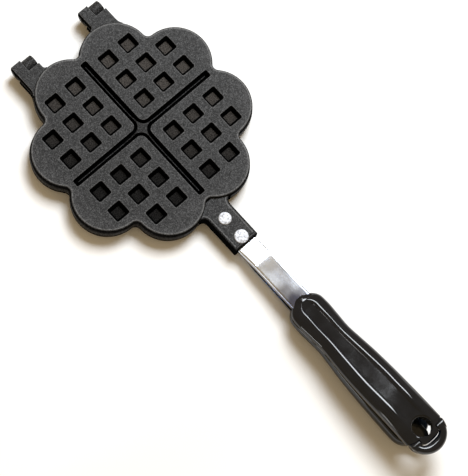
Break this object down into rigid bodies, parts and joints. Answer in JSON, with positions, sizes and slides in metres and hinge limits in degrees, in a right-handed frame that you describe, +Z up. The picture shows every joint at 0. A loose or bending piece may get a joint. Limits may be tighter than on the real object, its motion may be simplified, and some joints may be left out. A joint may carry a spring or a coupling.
{
  "type": "stovetop waffle iron",
  "caption": "Stovetop waffle iron: two flower-shaped cast plates hinged at two ears, on riveted steel straps with moulded grips and a latch ring.",
  "frame": {"origin": "middle of the lower plate's outer face, the face that rests on the stove", "axes": "+X from the hinge towards the grips, +Y across, +Z up through the upper plate"},
  "size_m": [0.4223, 0.165, 0.0373],
  "materials": {
    "cast_plate": "cast aluminium with a dark grey, finely grained non-stick coat",
    "strap": "bright plated steel",
    "rivet": "bright hammered rivet heads",
    "grip": "glossy black moulded phenolic",
    "pin": "plain steel"
  },
  "bodies": {
    "lower_iron": {"lower_plate": "cast_plate", "lower_strap": "strap", "lower_rivet_inner": "rivet", "lower_rivet_outer": "rivet", "lower_grip": "grip", "lower_grip_screw_front": "pin", "lower_grip_screw_rear": "pin", "hinge_pin_left": "pin", "hinge_pin_right": "pin"},
    "upper_iron": {"upper_plate": "cast_plate", "upper_strap": "strap", "upper_rivet_inner": "rivet", "upper_rivet_outer": "rivet", "upper_grip": "grip", "upper_grip_screw_front": "pin", "upper_grip_screw_rear": "pin", "latch_pin_left": "pin", "latch_pin_right": "pin"},
    "latch": {"latch_ring": "grip"}
  },
  "joints": [
    {"name": "lid_hinge", "type": "hinge", "parent": "lower_iron", "child": "upper_iron", "pos_m": [-0.094, 0, 0.00845], "axis": [0, -1, 0], "range_deg": [0, 180]},
    {"name": "latch_hinge", "type": "hinge", "parent": "upper_iron", "child": "latch", "pos_m": [0.3114, 0, 0.02015], "axis": [0, 1, 0], "range_deg": [0, 90]}
  ]
}
